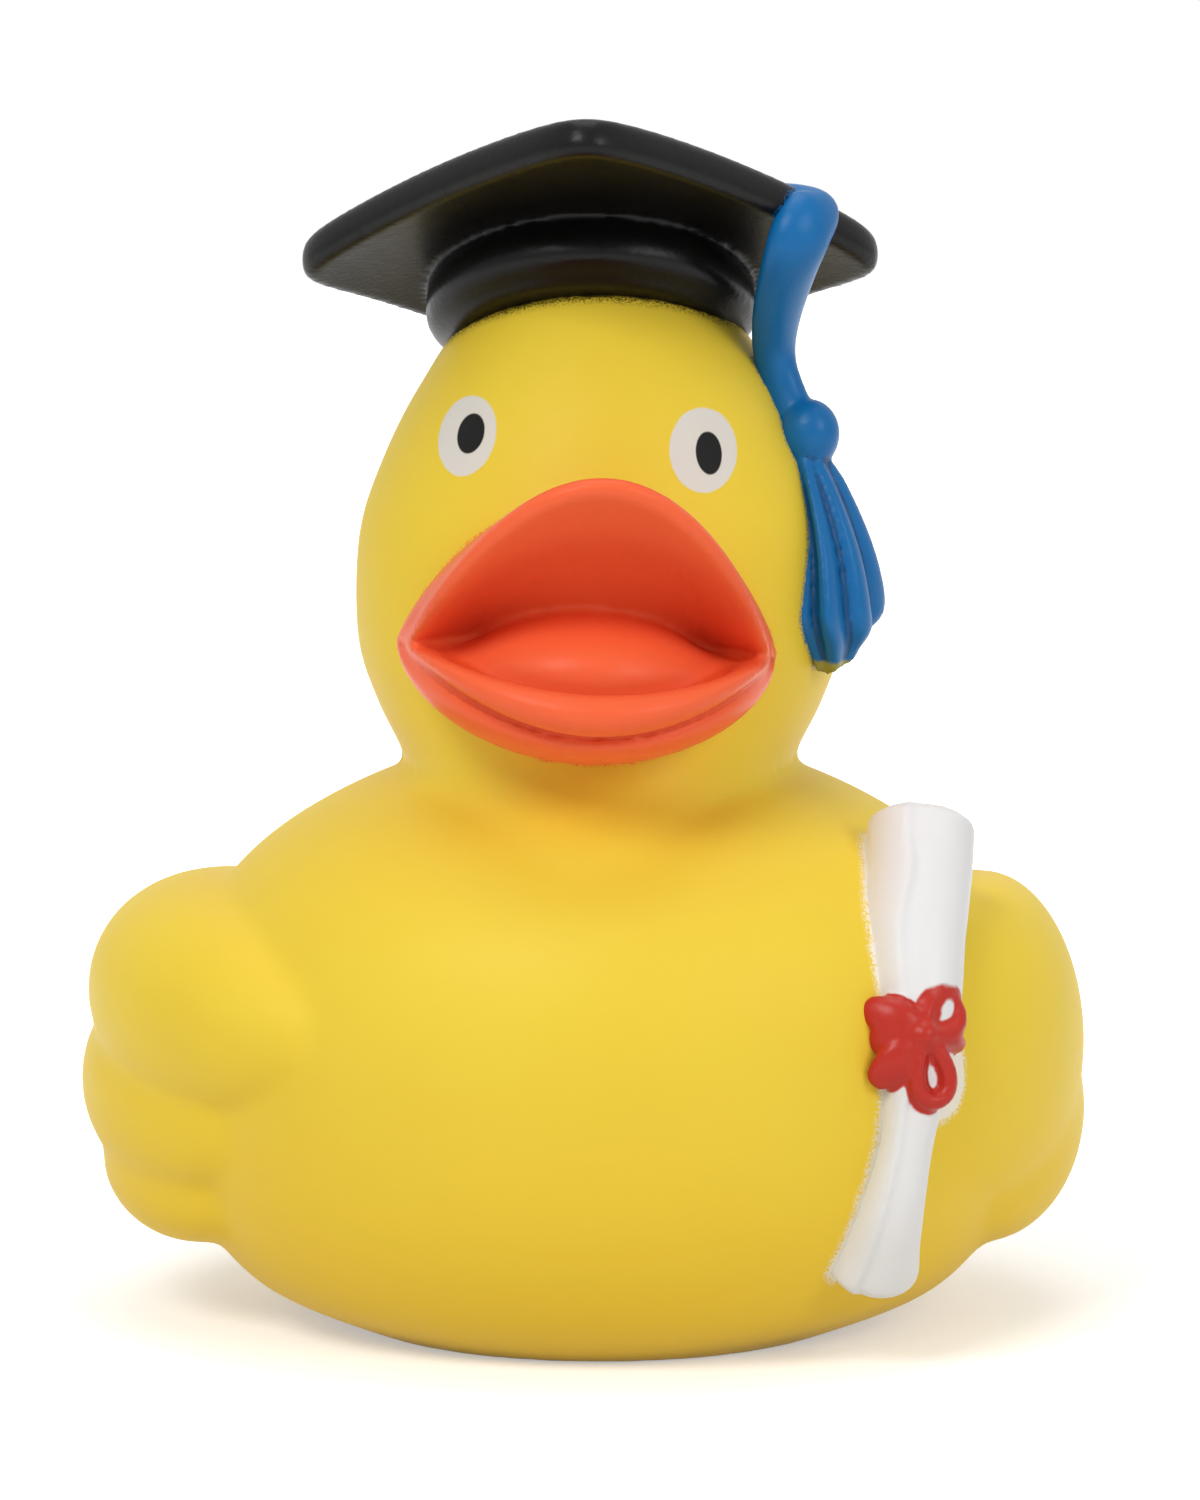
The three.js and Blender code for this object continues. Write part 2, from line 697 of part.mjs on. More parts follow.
function squeakerHousing() {
  const profile = [
    [ventRadius, flangeBottom],
    [recessRadius - clearance, flangeBottom],
    [recessRadius - clearance, flangeTop],
    [neckRadius, flangeTop],
    [neckRadius, lipBottom],
    [holeRadius + lipStandOut, lipBottom],
    [holeRadius, lipBottom + lipHeight],
    [neckRadius, lipBottom + lipHeight],
    [neckRadius, housingTop],
    [boreRadius, housingTop],
    [boreRadius, boreFloor],
    [ventRadius, boreFloor],
    [ventRadius, flangeBottom],
  ].map(([radius, height]) => new THREE.Vector2(radius, height));
  const turned = new THREE.LatheGeometry(profile, 28);
  turned.rotateX(PI / 2);
  return solid(turned);
}

function box(wide, deep, low, high, x = 0, y = 0) {
  const block = new THREE.BoxGeometry(wide, deep, high - low);
  block.translate(x, y, (low + high) / 2);
  return solid(block);
}

// The plug is a cylinder with one side cut flat; the groove in that flat leads the air under the reed
const seatRadius = boreRadius - clearance;
const seatFlat = seatRadius * 0.3;
const seatBottom = boreFloor + clearance;
const seatTop = housingTop - seatSink;

function reedSeat() {
  const cylinder = plug(seatRadius, seatBottom, seatTop, 32);
  const flat = box(2 * seatRadius, 3 * seatRadius, seatBottom - 1, seatTop + 1, seatFlat + seatRadius);
  const groove = box(2 * grooveDepth, reedGroove, seatBottom - 1, seatTop - grooveDepth, seatFlat);
  return cylinder.subtract(flat).subtract(groove);
}

// The reed lies along the flat and springs away from it towards its free end
function reed() {
  const low = seatTop - reedLength;
  const spring = new THREE.QuadraticBezierCurve3(
    point(0, 0, seatTop),
    point(0, 0, lerp(low, seatTop, 0.5)),
    point(reedLift, 0, low),
  );
  const rings = [];
  const steps = 10;
  for (let row = 0; row <= steps; row++) {
    const spot = spring.getPoint(row / steps);
    const inner = seatFlat + clearance + spot.x;
    const outer = inner + reedThickness;
    const half = reedWidth / 2;
    rings.push([point(inner, half, spot.z), point(outer, half, spot.z), point(outer, -half, spot.z),
      point(inner, -half, spot.z)]);
  }
  rings.unshift(collapsed(rings[0]));
  rings.push(collapsed(rings[rings.length - 1]));
  return solid(new LoftGeometry(rings));
}

function part(name, manifold, color, roughness, metalness = 0) {
  const material = new THREE.MeshStandardMaterial({ color, roughness, metalness });
  const mesh = new THREE.Mesh(geometryOf(manifold), material);
  mesh.name = name;
  return mesh;
}

const duck = new THREE.Group();
duck.name = 'rubber_duck';
duck.add(part('duck_shell', shell(), 0xefd040, 0.5));
duck.add(part('squeaker_housing', squeakerHousing(), 0xf2f0ea, 0.45));
duck.add(part('squeaker_reed_seat', reedSeat(), 0xe6e4de, 0.5));
duck.add(part('squeaker_reed', reed(), 0xd9dde0, 0.3));

// The part's own origin is the middle of its footprint, on the surface it stands on
const extent = new THREE.Box3().setFromObject(duck);
const middle = extent.getCenter(point(0, 0, 0));
duck.position.set(-middle.x, -middle.y, 0);

export default duck;
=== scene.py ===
from math import sin, cos, pi, radians, sqrt, exp
import bpy
import bmesh
from mathutils import Vector, Matrix
from mathutils.bvhtree import BVHTree


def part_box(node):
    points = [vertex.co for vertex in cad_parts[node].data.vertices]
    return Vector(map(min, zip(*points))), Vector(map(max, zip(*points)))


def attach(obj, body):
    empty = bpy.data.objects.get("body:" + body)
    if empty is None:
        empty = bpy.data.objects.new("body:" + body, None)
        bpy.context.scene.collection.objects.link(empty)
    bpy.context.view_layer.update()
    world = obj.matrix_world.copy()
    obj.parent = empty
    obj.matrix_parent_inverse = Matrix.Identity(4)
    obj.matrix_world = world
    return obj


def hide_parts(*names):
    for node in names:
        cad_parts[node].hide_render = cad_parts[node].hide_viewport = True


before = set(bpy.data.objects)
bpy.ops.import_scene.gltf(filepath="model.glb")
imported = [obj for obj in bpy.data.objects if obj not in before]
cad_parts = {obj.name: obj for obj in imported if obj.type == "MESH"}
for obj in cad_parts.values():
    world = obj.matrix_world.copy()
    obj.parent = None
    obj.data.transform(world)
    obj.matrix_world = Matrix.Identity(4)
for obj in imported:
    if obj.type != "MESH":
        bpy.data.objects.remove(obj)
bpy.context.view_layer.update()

# Lengths are worked out in millimetres round the middle of the squeaker, then laid into the frame
housingLow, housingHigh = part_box("squeaker_housing")
centre = Vector(((housingLow.x + housingHigh.x) / 2, (housingLow.y + housingHigh.y) / 2, 0))
toFrame = Matrix.Translation(centre) @ Matrix.Scale(0.001, 4)


def lerp(a, b, share):
    return a + (b - a) * share


def smoothStep(x, start, end):
    share = min(max((x - start) / (end - start), 0), 1)
    return share * share * (3 - 2 * share)


# An even spline through values of any kind that add and scale
def evenSpline(points):
    last = len(points) - 1

    def at(t):
        spot = min(max(t, 0), 1) * last
        i = min(int(spot), last - 1)
        w = spot - i
        p0, p1, p2, p3 = points[max(i - 1, 0)], points[i], points[i + 1], points[min(i + 2, last)]
        v0, v1 = (p2 - p0) * 0.5, (p3 - p1) * 0.5
        return (p1 * 2 - p2 * 2 + v0 + v1) * w ** 3 + (p2 * 3 - p1 * 3 - v0 * 2 - v1) * w ** 2 + v0 * w + p1

    return at


# A path in space whose bends depend on how far apart its points lie
def path(points, closed=False):
    points = [Vector(p) for p in points]
    count = len(points)
    last = count if closed else count - 1

    def pick(i):
        if closed:
            return points[i % count]
        if i < 0:
            return points[0] * 2 - points[1]
        if i >= count:
            return points[-1] * 2 - points[-2]
        return points[i]

    def at(t):
        spot = t % 1 * last if closed else min(max(t, 0), 1) * last
        i = min(int(spot), last - 1)
        w = spot - i
        p0, p1, p2, p3 = (pick(i + k) for k in (-1, 0, 1, 2))
        d0, d1, d2 = (max(gap.length, 1e-4) ** 0.5 for gap in (p1 - p0, p2 - p1, p3 - p2))
        v0 = ((p1 - p0) / d0 - (p2 - p0) / (d0 + d1) + (p2 - p1) / d1) * d1
        v1 = ((p2 - p1) / d1 - (p3 - p1) / (d1 + d2) + (p3 - p2) / d2) * d1
        return (p1 * 2 - p2 * 2 + v0 + v1) * w ** 3 + (p2 * 3 - p1 * 3 - v0 * 2 - v1) * w ** 2 + v0 * w + p1

    return at


# Outlines are [reach, height] from the bottom to the top, for the sides, the front and the back
def skinThrough(side, front, back):
    side, front, back = (evenSpline([Vector(p) for p in line]) for line in (side, front, back))

    def at(u, v):
        turn = u * 2 * pi
        sideAt = side(v)
        endAt = (front if sin(turn) < 0 else back)(v)
        share = cos(turn) ** 2
        return Vector((sideAt.x * cos(turn), endAt.x * sin(turn), lerp(endAt.y, sideAt.y, share)))

    return at


# Moves a surface inwards by a depth, square to itself
def inset(pointAt, depth):
    step = 0.002

    def at(u, v):
        v0 = min(v, 1 - step)
        here = pointAt(u, v0)
        normal = (pointAt(u + step, v0) - here).cross(pointAt(u, v0 + step) - here).normalized()
        return pointAt(u, v) - normal * depth

    return at


# How far up a surface a height is reached, found by halving
def rowAt(pointAt, u, height):
    below, above = 0, 1
    for step in range(24):
        middle = (below + above) / 2
        if pointAt(u, middle).z < height:
            below = middle
        else:
            above = middle
    return (below + above) / 2


# A point off a surface, at a bearing round the duck in degrees and at a height
def onSkin(pointAt, bearing, height, standOff):
    u = bearing / 360
    return inset(pointAt, -standOff)(u, rowAt(pointAt, u, height))


# An oval section carried along a line, its flat side turned outwards; slant pulls one side back along it
def limb(line, sizeAt, outAt):
    def at(u, v):
        spot = line(v)
        along = (line(min(v + 1e-3, 1)) - line(max(v - 1e-3, 0))).normalized()
        out = outAt(v, spot)
        out = (out - along * out.dot(along)).normalized()
        across = out.cross(along)
        wide, thick, slant = sizeAt(u, v)
        turn = u * 2 * pi
        return spot + (across * wide - along * slant) * cos(turn) + out * thick * sin(turn)

    return at


# A grid rolled up into a closed skin: u runs round it, v from end to end
def rolled(name, pointAt, around, along, folded=False):
    bm = bmesh.new()
    bmesh.ops.create_grid(bm, x_segments=around, y_segments=along, size=1)
    for vert in bm.verts:
        vert.co = pointAt((vert.co.x + 1) / 2, (vert.co.y + 1) / 2)
    bmesh.ops.remove_doubles(bm, verts=bm.verts, dist=0.002)
    bmesh.ops.holes_fill(bm, edges=[e for e in bm.edges if e.is_boundary], sides=0)
    if folded:
        bmesh.ops.remove_doubles(bm, verts=bm.verts, dist=0.02)
    return closed(name, bm)


def closed(name, bm):
    bmesh.ops.transform(bm, matrix=toFrame, verts=bm.verts)
    bmesh.ops.recalc_face_normals(bm, faces=bm.faces)
    mesh = bpy.data.meshes.new(name)
    bm.to_mesh(mesh)
    bm.free()
    return mesh


def ball(name, spot, radius, squash=1):
    bm = bmesh.new()
    bmesh.ops.create_uvsphere(bm, u_segments=32, v_segments=20, radius=radius)
    bmesh.ops.scale(bm, vec=(1, 1, squash), verts=bm.verts)
    bmesh.ops.translate(bm, vec=spot, verts=bm.verts)
    return closed(name, bm)


def cylinder(name, radius, bottom, top):
    bm = bmesh.new()
    made = bmesh.ops.create_cone(
        bm, cap_ends=True, segments=96, radius1=radius, radius2=radius, depth=top - bottom)
    bmesh.ops.translate(bm, vec=(0, 0, (top + bottom) / 2), verts=made["verts"])
    return closed(name, bm)


body = {"half": 31.5, "chest": 30, "rump": 32, "foot": 17.6, "belly": 20, "back": 43,
        "voxel": 0.55, "rounds": 10}
half, belly, back = body["half"], body["belly"], body["back"]
bodyPoint = skinThrough(
    [(body["foot"], 0), (half * 0.81, belly * 0.17), (half * 0.955, belly * 0.5), (half, belly),
     (half * 0.955, lerp(belly, back, 0.3)), (half * 0.83, lerp(belly, back, 0.58)),
     (half * 0.62, lerp(belly, back, 0.79)), (half * 0.34, lerp(belly, back, 0.94)), (half * 0.02, back)],
    [(body["foot"], 0)] + [(body["chest"] * a, z) for a, z in (
        (0.77, belly * 0.2), (0.94, belly * 0.6), (1, belly * 1.1), (0.95, lerp(belly, back, 0.42)),
        (0.82, lerp(belly, back, 0.64)), (0.62, lerp(belly, back, 0.82)),
        (0.34, lerp(belly, back, 0.95)), (0.02, back))],
    [(body["foot"], 0)] + [(body["rump"] * a, z) for a, z in (
        (0.78, belly * 0.22), (0.94, belly * 0.6), (1, belly * 1.1), (0.95, lerp(belly, back, 0.38)),
        (0.82, lerp(belly, back, 0.6)), (0.62, lerp(belly, back, 0.78)),
        (0.34, lerp(belly, back, 0.92)), (0.02, back))])

# Head and neck, flared into the chest at the front
head = {"half": 17.7, "front": 18.4, "back": 16.4, "neckHalf": 13.9, "neck": 40.5, "cheek": 53, "crown": 79}
neck, cheek, crown = head["neck"], head["cheek"], head["crown"]
headPoint = skinThrough(
    [(head["neckHalf"] + 1.2, neck - 9), (head["neckHalf"] + 0.3, neck - 4), (head["neckHalf"], neck)]
    + [(head["half"] * a, z) for a, z in (
        (0.91, lerp(neck, cheek, 0.38)), (0.99, lerp(neck, cheek, 0.75)), (0.985, lerp(cheek, crown, 0.155)),
        (0.9, lerp(cheek, crown, 0.35)), (0.74, lerp(cheek, crown, 0.57)), (0.49, lerp(cheek, crown, 0.8)),
        (0.02, crown))],
    [(head["front"] + 8.4, neck - 9), (head["front"] + 4.6, neck - 4), (head["front"] + 0.3, neck),
     (head["front"] - 1.1, lerp(neck, cheek, 0.38)), (head["front"] - 0.2, lerp(neck, cheek, 0.75))]
    + [(head["front"] * a, z) for a, z in (
        (0.985, lerp(cheek, crown, 0.155)), (0.89, lerp(cheek, crown, 0.37)),
        (0.72, lerp(cheek, crown, 0.62)), (0.46, lerp(cheek, crown, 0.84)), (0.02, crown))],
    [(head["back"] - 4.6, neck - 9), (head["back"] - 4.6, neck - 4), (head["back"] - 4.2, neck)]
    + [(head["back"] * a, z) for a, z in (
        (0.86, lerp(neck, cheek, 0.38)), (0.98, lerp(neck, cheek, 0.75)), (0.99, lerp(cheek, crown, 0.155)),
        (0.91, lerp(cheek, crown, 0.35)), (0.75, lerp(cheek, crown, 0.57)), (0.5, lerp(cheek, crown, 0.8)),
        (0.02, crown))])

bill = {"height": 50.2, "offset": -0.5, "half": 12.9, "rise": 12.7, "drop": 7.8, "upper": 29.2,
        "lower": 28.6, "throat": 2.9, "turn": 6, "roll": 2.5, "room": 0.3, "voxel": 0.3, "rounds": 2}
rise, drop, upper, lower = bill["rise"], bill["drop"], bill["upper"], bill["lower"]
# From the root on the face over the lips to the throat: wide, rise, drop, corner, top, bottom, peak, sag
billRings = evenSpline([Vector(ring) for ring in (
    (0.84, 8.0, 6.0, 8, 9, 9, 1.2, 1.2),
    (1.0, rise - 2.3, drop, 11.6, 15, 16, 1.5, 1.2),
    (1.03, rise - 1.2, drop - 0.7, 14.9, 22, 22, 1.6, 1.15),
    (1.0, rise - 0.3, drop - 2.5, 14.9, upper - 2.2, lower - 3.4, 1.65, 1.4),
    (0.98, rise, drop - 3.3, 16.6, upper - 0.4, lower - 0.4, 1.7, 2.0),
    (0.92, rise - 1.1, drop - 5.1, 16.4, upper, lower - 0.2, 1.7, 2.1),
    (0.84, rise - 3.0, drop - 4.9, 15.2, upper - 2.4, lower - 2.8, 1.6, 2.0),
    (0.74, rise - 5.6, 1.4, 14.2, 22.6, 24.6, 1.4, 1.5),
    (0.64, rise - 8.0, -0.6, 13.6, 19.8, 21.6, 1.2, 1.2),
    (0.56, bill["throat"], -bill["throat"], 13.4, 18.2, 18.2, 1.1, 1.1))])
# The lower bill's middle over the same way, as millimetres back from the lip and up from its lowest:
# outer band, crease, rounded lip, groove and tongue
lowerSteps = (
    (19.6, 1.8), (16.0, 0.6), (12.6, 0), (9.3, 0.1), (6.4, 0.5), (4.0, 1.1), (2.6, 2.0), (3.2, 2.9),
    (1.0, 2.9), (-0.1, 4.3), (0.9, 5.7), (2.4, 5.2), (3.6, 3.8), (3.8, 5.2), (3.7, 6.9), (4.5, 8.4),
    (6.2, 9.5), (8.3, 10.2), (10.4, drop + bill["throat"]))
lowerLine = evenSpline([Vector((lower - away, up - drop)) for away, up in lowerSteps])
billTwist = Matrix.Rotation(radians(bill["turn"]), 3, "Z") @ Matrix.Rotation(radians(bill["roll"]), 3, "Y")
billCentre = Vector((bill["offset"], -head["front"] * 0.7, bill["height"]))


def billPoint(u, v):
    turn = u * 2 * pi
    wide, up, down, corner, top, bottom, peak, sag = billRings(v)
    lift = abs(sin(turn))
    above = sin(turn) > 0
    if not above:
        bottom, down = lowerLine(v)
    height = up * lift ** peak if above else down * lift ** sag
    reach = lerp(corner, top if above else bottom, lift)
    spot = Vector((bill["half"] * wide * cos(turn), -reach - billCentre.y, height))
    return billTwist @ spot + billCentre


# The hollow from the lips to the throat, with a little room round it
mouthPoint = inset(lambda u, v: billPoint(1 - u, lerp(0.5, 1, v)), -bill["room"])
# Takes the yellow away behind the throat, where the mouth closes to a line
throat = {"spot": (-0.2, -13.5, 51.3), "radius": 10.4, "squash": 0.46}


# Wings: lobes like stacked feathers, side -1 for the duck's right wing and 1 for its left one
def leaf(v, blunt):
    return max(sin(pi * (0.02 + 0.96 * v)), 0) ** blunt


def lobe(side, reach, front, back, height, lift, frontTuck, backTuck, wide, thick):
    spine = []
    for share in (0, 0.15, 0.32, 0.5, 0.68, 0.85, 1):
        tuck = (frontTuck if share < 0.5 else backTuck) * abs(2 * share - 1) ** 2.2
        spine.append((side * (reach - thick - tuck), lerp(front, back, share), height + lift * share ** 3.2))
    return limb(
        path(spine),
        lambda u, v: (wide * leaf(v, 0.62) * lerp(1.08, 0.6, v), thick * leaf(v, 0.75), 0),
        lambda v, spot: Vector((side, -0.25, 0.1)))


wings = {"right": 38.3, "left": 35.9}
rightUpper = lobe(-1, wings["right"] - 0.7, -23.2, 28, 23.6, 3.6, 9.4, 6.5, 9.8, 9.4)
rightMiddle = lobe(-1, wings["right"], -18, 25, 17.0, 4.4, 9, 7.2, 8.6, 6.9)
rightLower = lobe(-1, wings["right"] - 1.6, -14, 19, 10.9, 4.3, 8, 6.5, 6.0, 6.1)
leftUpper = lobe(1, wings["left"] - 0.6, -21.5, 29, 20.7, 7.3, 10.5, 9, 12.9, 6.1)
leftLower = lobe(1, wings["left"] - 0.4, -14, 25, 14.8, 5.6, 8.2, 8, 10.7, 6.9)

tail = {"reach": 39.5, "height": 47.5, "half": 11.5, "root": 13, "tip": 2.4}
tailRoot = (0, body["rump"] * 0.47, lerp(belly, back, 0.17))
tailBend = (0, body["rump"] * 0.78, lerp(belly, back, 0.48))
tailPoint = limb(
    path([tailRoot, tailBend,
          (0, lerp(tailBend[1], tail["reach"], 0.6), lerp(tailBend[2], tail["height"], 0.42)),
          (0, tail["reach"] - 1, tail["height"] - 1)]),
    lambda u, v: (tail["half"] * lerp(1.45, 0.62, v) * sqrt(1 - v ** 9 * 0.96),
                  lerp(tail["root"], tail["tip"], v ** 0.7) * sqrt(1 - v ** 9 * 0.96), 0),
    lambda v, spot: Vector((0, -1, 1)))

cap = {"side": 31.2, "thick": 2.9, "corner": 3.2, "edge": 1.1, "tilt": 25, "turn": 2, "roll": -1.5,
       "droop": 2.4, "band": 11.2, "bandHeight": 4.6, "bandDrop": 0.4, "bandBulge": 0.7, "hem": 1.5,
       "setback": 4.5, "button": 1.7, "voxel": 0.34, "rounds": 2}
capPose = (Matrix.Translation((-0.6, -3.0, crown + 0.1)) @ Matrix.Rotation(radians(cap["roll"]), 4, "Y")
           @ Matrix.Rotation(radians(-cap["tilt"]), 4, "X") @ Matrix.Rotation(radians(cap["turn"]), 4, "Z"))
boardTop = cap["thick"] / 2


def capPoint(x, y, z):
    return capPose @ Vector((x, y, z))


# A rounded square from its middle below, out over the edge and back to its middle above
def boardPoint(u, v):
    turn = u * 2 * pi
    square = cap["side"] / 2
    power = cap["side"] / cap["corner"]
    flat = 0.36
    rim = square - cap["edge"]
    over = min(max((v - flat) / (1 - 2 * flat), 0), 1) * pi
    onEdge = flat < v < 1 - flat
    reach = rim + cap["edge"] * sin(over) ** 0.6 if onEdge else rim * max(min(v, 1 - v) / flat, 0.02)
    reach *= (abs(cos(turn)) ** power + abs(sin(turn)) ** power) ** (-1 / power)
    x, y = reach * cos(turn + pi / 4), reach * sin(turn + pi / 4)
    sag = cap["droop"] * (x * x + y * y) / (2 * square * square)
    level = abs(cos(over)) ** 0.75 * (1 if over > pi / 2 else -1)
    return capPoint(x, y, boardTop * level - sag)


# The band draws in at its foot, where it runs into the head
def bandPoint(u, v):
    turn = u * 2 * pi
    radius = cap["band"] + cap["bandBulge"] * sin(pi * v) - cap["hem"] * (1 - smoothStep(v, 0, 0.3))
    bottom = -boardTop - cap["bandHeight"] - cap["bandDrop"]
    return capPoint(radius * cos(turn), cap["setback"] + radius * sin(turn), bottom + cap["bandHeight"] * v)


# Tassel: a cord over the board, a knot and a tuft of pleats against the cheek
tassel = {"cord": 2.0, "thick": 1.5, "aside": -6.5, "bearing": -19, "knot": 64.3, "knotRadius": 2.15,
          "length": 14, "half": 4.5, "pleats": 7, "pleatDepth": 0.22, "slant": 1.5,
          "voxel": 0.26, "rounds": 2}
hang, knotHeight, aside = tassel["bearing"], tassel["knot"], tassel["aside"]
cordEdge = cap["side"] / 2 + 0.1
cordLine = path([
    capPoint(0, 0, boardTop - 0.2), capPoint(cordEdge * 0.5, aside * 0.25, boardTop - 0.6),
    capPoint(cordEdge * 0.85, aside * 0.7, boardTop - 1.3), capPoint(cordEdge, aside * 0.95, boardTop - 2.6),
    capPoint(cordEdge - 1.0, aside - 0.3, boardTop - 5.4), onSkin(headPoint, hang, knotHeight + 5.4, 1.5),
    onSkin(headPoint, hang, knotHeight + 0.2, 0.5)])


# Broad where it hangs as a strap over the edge, narrow again at the knot
def cordSize(u, v):
    strap = lerp(0.9, 1.15, smoothStep(v, 0.3, 0.65)) * lerp(1, 0.54, smoothStep(v, 0.68, 0.92))
    return tassel["cord"] * strap, tassel["thick"] * lerp(0.75, 1, smoothStep(v, 0.35, 0.65)), 0


# The broad face looks up on the board, forward on the strap and sideways on the cheek
def cordOut(v, spot):
    up = Vector((0, sin(radians(cap["tilt"])), cos(radians(cap["tilt"]))))
    forward = Vector((0.5, -0.87, 0))
    sideways = Vector((cos(radians(hang)), sin(radians(hang)), 0))
    return up.lerp(forward, smoothStep(v, 0.34, 0.6)).lerp(sideways, smoothStep(v, 0.74, 0.95))


# Round pleats with sharp valleys between them, which lean a little towards the tip
def tuftSize(u, v):
    pleat = 2 * abs(sin(pi * tassel["pleats"] * (u + 0.07 * v))) - 1
    ripple = 1 + tassel["pleatDepth"] * smoothStep(v, 0, 0.25) * pleat
    wide = tassel["half"] * lerp(0.3, 1, smoothStep(v, -0.1, 0.8)) * lerp(1, 0.5, smoothStep(v, 0.7, 1))
    thick = lerp(1.1, 2.4, smoothStep(v, 0.05, 0.8)) * lerp(1, 0.55, smoothStep(v, 0.8, 1))
    return wide * ripple, thick * ripple, tassel["slant"] * smoothStep(v, 0.5, 1)


cordPoint = limb(cordLine, cordSize, cordOut)
knotSpot = onSkin(headPoint, hang, knotHeight, 1.1)
tuftLine = path([onSkin(headPoint, hang, knotHeight - fall, 0.4 + 0.1 * row)
                 for row, fall in enumerate((0.6, 3.6, 8.0, 12.0, tassel["length"] + 0.9))])
tuftPoint = limb(tuftLine, tuftSize, lambda v, spot: Vector((spot.x, spot.y, 0)))

# Diploma: a rolled sheet waisted where the ribbon is tied, with its free edge down the front
scroll = {"top": 38.0, "bottom": 6.8, "radius": 3.55, "waist": 1.6, "foot": 3.3, "edge": 0.45,
          "voxel": 0.24, "rounds": 3}
# Each loop of the bow has its bearing in degrees, its length and its width
ribbon = {"height": 24.3, "radius": 0.6, "knot": 1.1, "sink": 1.6,
          "loops": ((38, 3.3, 1.8), (-76, 4.8, 1.55)),
          "flatLoops": ((152, 4.3, 1.5), (-133, 4.7, 1.5), (-172, 3.4, 1.5))}
scrollLine = path([
    (19.7, -18.4, scroll["bottom"]), (21.3, -21.6, 12), (22.5, -22.2, 18), (23.0, -20.6, ribbon["height"]),
    (22.7, -17.2, 30.5), (23.1, -13.6, scroll["top"] - 3.5), (23.3, -11.6, scroll["top"])])
scrollGirth = evenSpline([scroll["foot"], lerp(scroll["waist"], scroll["foot"], 0.5),
                          lerp(scroll["waist"], scroll["foot"], 0.15), scroll["waist"]]
                         + [lerp(scroll["waist"], scroll["radius"], share) for share in (
                             0.2, 0.5, 0.82, 0.98, 0.99, 1, 1)])
scrollOut = Vector((0.35, -0.94, 0))


def scrollSize(u, v):
    rounding = 1 - 0.22 * (smoothStep(v, 0.965, 1) ** 2 + smoothStep(v, 0.035, 0) ** 2)
    girth = (scrollGirth(v) + scroll["edge"] * ((u + 0.85) % 1)) * rounding
    return girth, girth, 0


scrollPoint = limb(scrollLine, scrollSize, lambda v, spot: scrollOut.copy())
ribbonRow = rowAt(scrollPoint, 0.25, ribbon["height"])
bowSpot = inset(scrollPoint, -0.2)(0.25, ribbonRow) + Vector((-0.7, 0, 0))
bowRight, bowUp = Vector((0.94, 0.34, 0)), Vector((0, 0.25, 0.97))


# A round strand along a closed line
def strand(name, line):
    def at(u, v):
        along = (line(v + 1e-3) - line(v - 1e-3)).normalized()
        out = (scrollOut - along * scrollOut.dot(along)).normalized()
        across = out.cross(along)
        turn = u * 2 * pi
        return line(v) + (across * cos(turn) + out * sin(turn)) * ribbon["radius"]

    return rolled(name, at, 16, 72)


def bowLine(bearing, length, width):
    reach = bowRight * cos(radians(bearing)) + bowUp * sin(radians(bearing))
    across = bowUp * cos(radians(bearing)) - bowRight * sin(radians(bearing))
    ring = []
    for step in range(12):
        turn = step / 12 * 2 * pi
        out = (1 - cos(turn)) / 2
        ring.append(bowSpot + reach * length * out + across * width * sin(turn) * sqrt(out)
                    - scrollOut * abs(cos(radians(bearing))) * ribbon["sink"] * out * out)
    return path(ring, closed=True)


# A loop pressed flat: widest in its middle and rounded at its tip
def petal(bearing, length, halfWide):
    reach = bowRight * cos(radians(bearing)) + bowUp * sin(radians(bearing))
    line = path([bowSpot + reach * length * share - scrollOut * ribbon["sink"] * share ** 2
                 for share in (0, 0.5, 1)])
    return limb(line, lambda u, v: (halfWide * leaf(v, 0.4), ribbon["radius"] * 1.3 * leaf(v, 0.3), 0),
                lambda v, spot: scrollOut.copy())


print("forms")
headMesh = rolled("head", headPoint, 120, 90)
mouthMesh = rolled("mouth", mouthPoint, 128, 40)
billMesh = rolled("bill", billPoint, 128, 80, folded=True)
capMeshes = [
    rolled("board", boardPoint, 200, 80), rolled("band", bandPoint, 120, 24),
    ball("button", capPoint(0, 0, boardTop), cap["button"], 0.7)]
cordMesh = rolled("cord", cordPoint, 32, 90)
tasselMeshes = [
    cordMesh, ball("knot", knotSpot, tassel["knotRadius"], 1.15), rolled("tuft", tuftPoint, 168, 60)]
yellowMeshes = [
    rolled("body", bodyPoint, 160, 90), rolled("rightUpper", rightUpper, 48, 60),
    rolled("rightMiddle", rightMiddle, 48, 50), rolled("rightLower", rightLower, 48, 40),
    rolled("leftUpper", leftUpper, 48, 60), rolled("leftLower", leftLower, 48, 50),
    rolled("tail", tailPoint, 64, 40)]
scrollMesh = rolled("scroll", scrollPoint, 96, 90)
ribbonRing = [inset(scrollPoint, -0.1)(step / 14, ribbonRow) for step in range(14)]
ribbonMeshes = [strand("turn", path(ribbonRing, closed=True)), ball("bowKnot", bowSpot, ribbon["knot"])]
for loop in ribbon["loops"]:
    ribbonMeshes.append(strand("loop", bowLine(*loop)))
for flatLoop in ribbon["flatLoops"]:
    ribbonMeshes.append(rolled("petal", petal(*flatLoop), 32, 24))


def joined(name, meshes):
    bm = bmesh.new()
    for mesh in meshes:
        bm.from_mesh(mesh)
    mesh = bpy.data.meshes.new(name)
    bm.to_mesh(mesh)
    bm.free()
    return mesh


def placed(name, mesh):
    piece = bpy.data.objects.new(name, mesh)
    bpy.context.scene.collection.objects.link(piece)
    return piece


